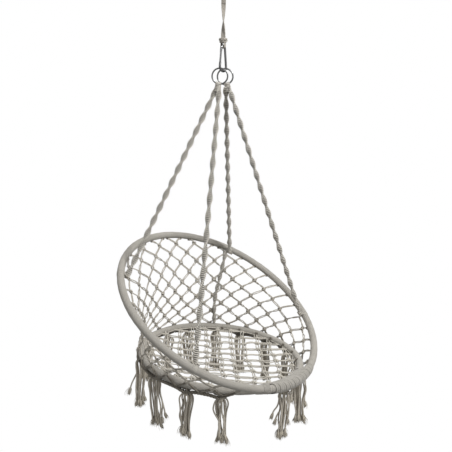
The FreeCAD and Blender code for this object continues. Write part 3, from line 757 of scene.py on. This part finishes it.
# the net's edge is carried by a cord that is hitched round the seat hoop
ang = np.radians(np.arange(0, 360, 1.0))
rim = SEAT.c + (EDGE - 0.0005) * (np.cos(ang)[:, None] * SEAT.u + np.sin(ang)[:, None] * SEAT.v) - SEAT.n * 0.002
seat.add(rim[None], 0.0019, 6, closed=True, normal=np.broadcast_to(SEAT.n, rim.shape)[None])
finish_piece(seat.object("seat_net_cords", SEATNET), "chair", nodes=["seat_net"])

# ------------------------------------------------------------------ lashing of both hoops at the front
lash = Cords()
LF, LT = 157.0, 200.0
turns, per = 24, 44
t = np.arange(turns * per + 1) / per
frac = t % 1.0
groove = Cords()
# the path at aside 0.80 is a thin dark cord sunk between the turns: painted shadow in the lashing's grooves
for aside in (-0.31, 0.31, 0.80):
    phis = LF + 2.4 + (LT - LF - 4.8) * t / turns + 1.7 * np.cos(TAU * frac + 2.2) + 0.15 * np.sin(TAU * t * 0.37) + aside
    inner = (t > 1.3) & (t < turns - 1.3) if aside > 0.5 else t > -1
    pts = []
    for p, f in zip(phis[inner], frac[inner]):
        a, c, e, k = cross_frame(p if p <= 180 else p - 360)
        u_ = unit(a - c)
        v_ = unit(e * (k @ u_) - k * (e @ u_))
        R_ = COVER_R + (0.0009 if aside > 0.5 else 0.0018)
        half = math.pi * R_
        gap_ = np.linalg.norm(a - c)
        per_len = 2 * half + 2 * gap_
        s = f * per_len
        if s < half:
            g = s / R_
            pts.append(a + (v_ * math.cos(g) + u_ * math.sin(g)) * R_)
        elif s < half + gap_:
            pts.append(a - v_ * R_ + (c - a) * ((s - half) / gap_))
        elif s < 2 * half + gap_:
            g = (s - half - gap_) / R_ + math.pi
            pts.append(c + (v_ * math.cos(g) + u_ * math.sin(g)) * R_)
        else:
            pts.append(c + v_ * R_ + (a - c) * ((s - 2 * half - gap_) / gap_))
    if aside > 0.5:
        groove.add(np.array(pts)[None], 0.0016, 6)
    else:
        lash.add(np.array(pts)[None], 0.0020, 7)
# a few turns round each hoop alone beyond the lashing's ends
for hoop in (BACK, SEAT):
    for first, way in ((LF + 0.6, -1.0), (LT - 0.6, 1.0)):
        if hoop is BACK:
            first = first if first <= 180 else first - 360
            other = first
            for _ in range(12):
                gap = (BACK.at(other) - SEAT.at(first)) @ SEAT.tangent(first)
                other -= math.degrees(gap / ((BACK.tangent(other) @ SEAT.tangent(first)) * BACK.R))
            first = other
        q = np.arange(6 * 22 + 1) / 22
        phis = first + way * q * math.degrees(0.0043 / hoop.R)
        lash.add(round_hoop(hoop, phis, COVER_R + 0.0016 - 0.0004 * q, TAU * q)[None], 0.0020, 7)
# painted shadow: the cords in the lashing's gaps use the near-black cotton
finish_piece(groove.object("front_lashing_painted_groove_shadow", PAINTED_GROOVE_SHADOW), "chair")
finish_piece(lash.object("front_lashing_cord", LASH), "chair", nodes=["front_lashing"])

# ------------------------------------------------------------------ rope ties round the back hoop
for name, (phi, xy, half_turn, start, aside) in ROPES.items():
    tie, turns_ = Cords(), []
    e, n_ = -BACK.radial(phi), BACK.n
    R_ = COVER_R - 0.0012
    beta_ = math.acos(R_ / (aside - 0.002))
    for k in range(5):
        shift = (k - 2) * 0.0040
        mid = BACK.at(phi + math.degrees(shift / BACK.R))
        apex = BACK.at(phi) + e * (aside - 0.002 + 0.001 * k) + BACK.tangent(phi) * shift * 0.55
        ang = np.linspace(beta_, TAU - beta_, 26)
        arc = mid + R_ * (np.cos(ang)[:, None] * e + np.sin(ang)[:, None] * n_)
        turns_.append(np.concatenate([[apex - n_ * 0.002], [apex + (arc[0] - apex) * 0.5], arc, [apex + (arc[-1] - apex) * 0.5], [apex + n_ * 0.002]]))
    tie.lines(turns_, 0.0018, 6)
    spot = BACK.at(phi) + e * (aside + 0.001)
    kn_ = []
    for k in range(3):
        kn_.extend(square_knot(spot + BACK.tangent(phi) * (k - 1) * 0.005, n_, BACK.tangent(phi), e, w=0.0066, h=0.0042, pitch=0.006))
    finish_piece(tie.object(name.replace("rope", "tie") + "_turns", WRAP), "chair", nodes=[name.replace("rope_", "rope_tie_")])
    finish_piece(Cords().lines(kn_, 0.0021, 6).object(name.replace("rope", "tie") + "_knots", NET), "chair")

# ------------------------------------------------------------------ braids inside the back net
BRAIDS = {
    "right": [(-0.02, 45.9), (0.28, 43.0), (0.46, 41.0), (0.66, 39.0), (0.82, 40.0), (0.97, 41.2)],
}
for side, bends in BRAIDS.items():
    route = []
    for f, phi in bends:
        L = float(net_at(phi, 0.0)[3])
        # the share f of the net's curve, told as a length down it
        v = START + (L - START) * f
        P, N, D, _ = net_at(phi, v)
        route.append(P - N * 0.0075)
    P = nurbs_line(route, 12)
    strands, fill = sinnet(P, 0.0068, 0.0036, 0.0058, 0.046, 0.3, per=12)
    c = Cords()
    for s in strands:
        c.add(s[None], 0.0019, 6)
    for s in fill:
        c.add(s[None], 0.0017, 6)
    last, spread, fan = P[-1], bends[-1][1], Cords()
    for k in range(7):
        Pf, Nf, Df, Lf = net_at(spread + (k - 3) * 0.95, float(net_at(spread, 0.0)[3]) + 0.002)
        fan.add(nurbs_line([last - unit(P[-1] - P[-3]) * 0.010, last, (last + Pf) / 2 + (Pf - last) * 0.1 - Nf * 0.002, Pf + Nf * 0.001], 6)[None], 0.0019, 6)
    finish_piece(fan.object("back_braid_%s_fan" % side, NET), "chair")
    o = finish_piece(c.object("back_braid_%s_knots" % side, ROPE), "chair", nodes=["back_braid_" + side])

# ------------------------------------------------------------------ rope heads on the rings
HEADS = {
    "left": ((-0.0095, 0.0055, RING_Z), (-0.0142, 0.0107, -0.399), ("rope_rear_left", "rope_front_left")),
    "right": ((0.0081, -0.0040, RING_Z), (0.0142, -0.0106, -0.399), ("rope_rear_right", "rope_front_right")),
}
for side, (centre, head, pair) in HEADS.items():
    centre, head = np.array(centre), np.array(head)
    c = Cords()
    one, two = (np.array([*ROPES[q][1], -0.4024]) for q in pair)
    low = (one + two) / 2
    wide = unit(one - two)
    deep = np.cross(Z, wide)
    # turns that bind the two ropes together below the ring, wider towards the foot
    n = int(6.0 * 24)
    t = np.arange(n + 1) / n
    a_ = TAU * 6.0 * t
    mid = (head + Z * 0.0235) * (1 - t)[:, None] + low * t[:, None]
    mid[:, 2] = -0.3745 - 0.0305 * t
    rw, rd = 0.0072 + 0.0060 * t**1.3, 0.0072 + 0.0018 * t
    c.add((mid + wide * (rw * np.cos(a_))[:, None] + deep * (rd * np.sin(a_))[:, None])[None], 0.0022, 7)
    core = np.linspace(0, 1, 12)[:, None]
    for k in (-1.0, 0.0, 1.0):
        c.add(((head + Z * 0.020) * (1 - core) + (low + wide * k * 0.0065 + Z * 0.001) * core)[None], 0.0055, 10)
    # cords that go over the ring's wire, fanned along it
    off = head - centre
    a0 = math.atan2(off[2] + 0.012, off @ ALONG)
    for k in range(6):
        ang = a0 + (k - 2.5) * 0.125
        rad_dir = ALONG * math.cos(ang) + Z * math.sin(ang)
        wire = centre + rad_dir * RING_R
        t = np.linspace(-0.25 * math.pi, 1.25 * math.pi, 14)
        loop = wire + (-rad_dir)[None] * (0.0047 * np.sin(t))[:, None] + ACROSS[None] * (0.0047 * np.cos(t))[:, None]
        foot_a = head + Z * 0.018 + ALONG * (k - 2.5) * 0.0020 + ACROSS * 0.004
        foot_b = head + Z * 0.018 + ALONG * (k - 2.5) * 0.0020 - ACROSS * 0.004
        c.add(np.concatenate([[foot_a], loop, [foot_b]])[None], 0.0018, 6)
    finish_piece(c.object("rope_head_%s_hitch" % side, ROPE), "chair", nodes=["rope_head_" + side])

# ------------------------------------------------------------------ tassels
# how far each tassel's ends hang below the seat hoop's tube centre
HANG = {308.0: 0.203, 278.0: 0.196, 249.5: 0.178, 227.0: 0.176, 180.0: 0.192, 152.0: 0.198, 130.0: 0.176, 332.0: 0.160}
STRAYS = {308.0: [(-0.034, 0.135)], 180.0: [(-0.030, 0.105), (-0.020, 0.125), (0.016, 0.118)], 152.0: [(-0.036, 0.100), (0.020, 0.118)], 278.0: [(0.026, 0.150)]}
for i, phi in enumerate(TASSELS, 1):
    body = "tassel_%02d" % i
    top = SEAT.at(phi) + np.array([0, 0, -0.0266])
    c, fibres, brushes, declared = Cords(), [], [], []
    full = HANG.get(phi, 0.185) - 0.0266
    c.add(helix(top + Z * 0.002, -Z, ALONG, ACROSS, 0.0072, 3.0, 0.0048, 14, phase=rng.uniform(0, 6))[None], 0.0025, 7)
    count = 10
    wander = rng.normal(0, 0.0022, 2)
    jobs = []
    for k in range(count):
        ang = TAU * k / count + rng.uniform(-0.25, 0.25)
        jobs.append((ang, 0.0040 if k % 2 else 0.0020, rng.uniform(0.009, 0.017) if k % 3 else rng.uniform(0.017, 0.023), rng.uniform(0.005, 0.018), full - 0.022 + rng.uniform(-0.014, 0.004)))
    for x, ln in STRAYS.get(phi, []):
        jobs.append((0.0 if x > 0 else math.pi, 0.004, abs(x) * 0.55, abs(x), ln - 0.0266))
    for k, (ang, r0, belly, r1_, ln) in enumerate(jobs):
        dirv = ALONG * math.cos(ang) + ACROSS * (0.75 * math.sin(ang))
        sway = rng.normal(0, 0.0042, 2)
        bow = rng.uniform(-0.001, 0.004)
        route = [
            top + dirv * r0 - Z * 0.004,
            top + dirv * (r0 + 0.002) + Z * (bow + 0.0015),
            top + dirv * (belly * 0.72 + 0.003) + Z * (bow - 0.0055),
            top + dirv * (belly + 0.003) - Z * 0.020,
            top + dirv * belly * 0.95 - Z * ln * 0.34 + ALONG * sway[0],
            top + dirv * (belly * 0.45 + r1_ * 0.45) - Z * ln * 0.66 + ALONG * (wander[0] + sway[1]) + ACROSS * wander[1],
            top + dirv * r1_ - Z * ln * 0.90 + ALONG * wander[0] * 1.6,
            top + dirv * (r1_ + 0.001) - Z * ln + ALONG * wander[0] * 1.8,
        ]
        P = nurbs_line(route, 5)
        if k < 2:
            declared.append(P)
        else:
            c.add(P[None], 0.0027, 7)
        end, tdir = P[-1], unit(P[-1] - P[-3])
        side_ = unit(np.cross(tdir, dirv))
        flare = rng.uniform(0.018, 0.026)
        q = np.linspace(0, 1, 6)[:, None]
        bend = rng.normal(0, 0.0022, 3)
        brushes.append((end - tdir * 0.003 + (tdir * flare) * q + bend * q**2, np.array([0.0027, 0.0039, 0.0049, 0.0054, 0.0047, 0.0022])))
        for f in range(22):
            w1, w2 = rng.normal(0, 0.0022, 2)
            fl = flare + rng.uniform(-0.004, 0.003)
            a_dir = dirv * w1 + side_ * w2
            fibres.append(np.array([end - tdir * 0.002 + a_dir * 0.6, end + tdir * fl * 0.35 + a_dir * 1.7, end + tdir * fl * 0.72 + a_dir * 2.2 + bend * 0.5 + rng.normal(0, 0.0005, 3), end + tdir * fl + a_dir * 2.1 + bend + rng.normal(0, 0.0007, 3)]))
    finish_piece(c.object(body + "_strands", TASSEL), body, nodes=[body])
    fr = Cords()
    for P, r in brushes:
        fr.add(P[None], r[None], 8)
    F = np.array(fibres)
    fr.add(F, np.broadcast_to(np.array([0.00075, 0.0007, 0.00055, 0.00025]), F.shape[:2]), 4)
    finish_piece(fr.object(body + "_frayed_ends", FRAY), body)
    for k, P in enumerate(declared):
        o = finish_piece(Cords().add(P[None], 0.0027, 7).object("%s_cord_%d" % (body, k + 1), TASSEL), body)
        ln = float(np.linalg.norm(np.diff(P, axis=0), axis=1).sum())

# ------------------------------------------------------------------ strap, its top loop, its knot and the loop on the hook
band = Cords()
WB = 0.0040
loop_turn = math.radians(42.08)
bx = np.array([math.cos(loop_turn), math.sin(loop_turn), 0.0])  # across the loop's opening
by = np.array([-math.sin(loop_turn), math.cos(loop_turn), 0.0])  # across the band
ri, drop = 0.018, 0.074
tt = 0.0022
beta = math.asin(ri / (drop - ri))
for w in (-1.5, -0.5, 0.5, 1.5):
    r_ = ri + tt
    ang = np.linspace(math.pi + beta, -beta, 26)
    arc = np.array([bx * (r_ * math.cos(a_)) + Z * (-ri + r_ * math.sin(a_)) for a_ in ang])
    leg_l = bezier(np.array(-bx * tt + Z * -0.0995), np.array(-bx * tt + Z * -0.090), arc[0] - Z * 0.022 + bx * 0.006, arc[0], 14)
    leg_r = bezier(arc[-1], arc[-1] - Z * 0.022 - bx * 0.006, np.array(bx * tt + Z * -0.090), np.array(bx * tt + Z * -0.0995), 14)
    P = np.concatenate([leg_l[:-1], arc, leg_r[1:]]) + by * (w * WB)
    band.add(P[None], 0.00215, 8, normal=by)
finish_piece(band.object("strap_loop_cords", COTTON), "strap_top", nodes=["strap_loop"])

sb = Cords()
z = np.linspace(-0.0985, -0.217, 60)
f = (-0.1004 - z) / (0.216 - 0.1004)
turn = np.interp(f, [-0.05, 0.0, 0.25, 0.5, 0.75, 1.0, 1.05], np.radians([0, 10, 50, 90, 140, 180, 182]))
base = loop_turn + math.pi / 2
X = np.stack([np.cos(base + turn), np.sin(base + turn), 0 * turn], -1)
Yv = np.stack([-np.sin(base + turn), np.cos(base + turn), 0 * turn], -1)
centre = np.stack([0 * z, 0 * z, z], -1)
for w in (-1.5, -0.5, 0.5, 1.5):
    P = centre + X * (w * WB) + Yv * (0.0004 * math.cos(w))
    sb.add(P[None], 0.00215, 8)
o = sb.object("hanging_strap_cords", COTTON)
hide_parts("hanging_strap")
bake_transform(o)

kn = Cords()
kc = np.array([0, 0, -0.2255])
u_ = np.linspace(0, 1, 80)
for k in range(3):
    # a wound knot: three interlaced turns with lobes to each side
    a_ = TAU * u_ * 2 + k * TAU / 3
    rr = 0.0100 + 0.0030 * np.cos(3 * a_ / 2 + k)
    P = kc + (rr * np.cos(a_))[:, None] * X[-1] + (0.72 * rr * np.sin(a_))[:, None] * Yv[-1] + (0.0055 * np.sin(a_ * 1.5 + k * 2.1))[:, None] * Z
    kn.add(P[None], 0.0028, 8)
finish_piece(kn.object("strap_knot_turns", COTTON), "strap", nodes=["strap_knot"])

ll = Cords()
for w in (-1.0, 0.0, 1.0):
    t = np.linspace(0, math.pi, 22)
    arc = np.stack([0 * t + w * 0.0031, -0.0080 * np.cos(t), -0.243 - 0.0080 * np.sin(t)], -1)
    top_a = np.array([[w * 0.0028, -0.0045, -0.226], [w * 0.003, -0.0074, -0.234]])
    top_b = np.array([[w * 0.003, 0.0074, -0.234], [w * 0.0028, 0.0045, -0.226]])
    P = np.concatenate([top_a, arc, top_b])
    ll.add(P[None], 0.0019, 8)
finish_piece(ll.object("strap_lower_loop_cords", COTTON), "strap", nodes=["strap_lower_loop"])

# ------------------------------------------------------------------ plain floor
mesh = bpy.data.meshes.new("floor")
s = 40.0
mesh.from_pydata([(-s, -s, -1.95), (s, -s, -1.95), (s, s, -1.95), (-s, s, -1.95)], [], [(0, 1, 2, 3)])
floor = bpy.data.objects.new("floor", mesh)
scene.collection.objects.link(floor)
fm, fnt, fb = new_material("floor")
fb.inputs["Base Color"].default_value = (0.42, 0.42, 0.42, 1)
fb.inputs["Roughness"].default_value = 0.9
fb.inputs["Specular IOR Level"].default_value = 0.1
glow = fnt.nodes.new("ShaderNodeEmission")
glow.inputs["Strength"].default_value = 1.0
path = fnt.nodes.new("ShaderNodeLightPath")
both = fnt.nodes.new("ShaderNodeMixShader")
fnt.links.new(path.outputs["Is Camera Ray"], both.inputs["Fac"])
fnt.links.new(fb.outputs[0], both.inputs[1])
fnt.links.new(glow.outputs[0], both.inputs[2])
fnt.links.new(both.outputs[0], fnt.nodes["Material Output"].inputs["Surface"])
mesh.materials.append(fm)
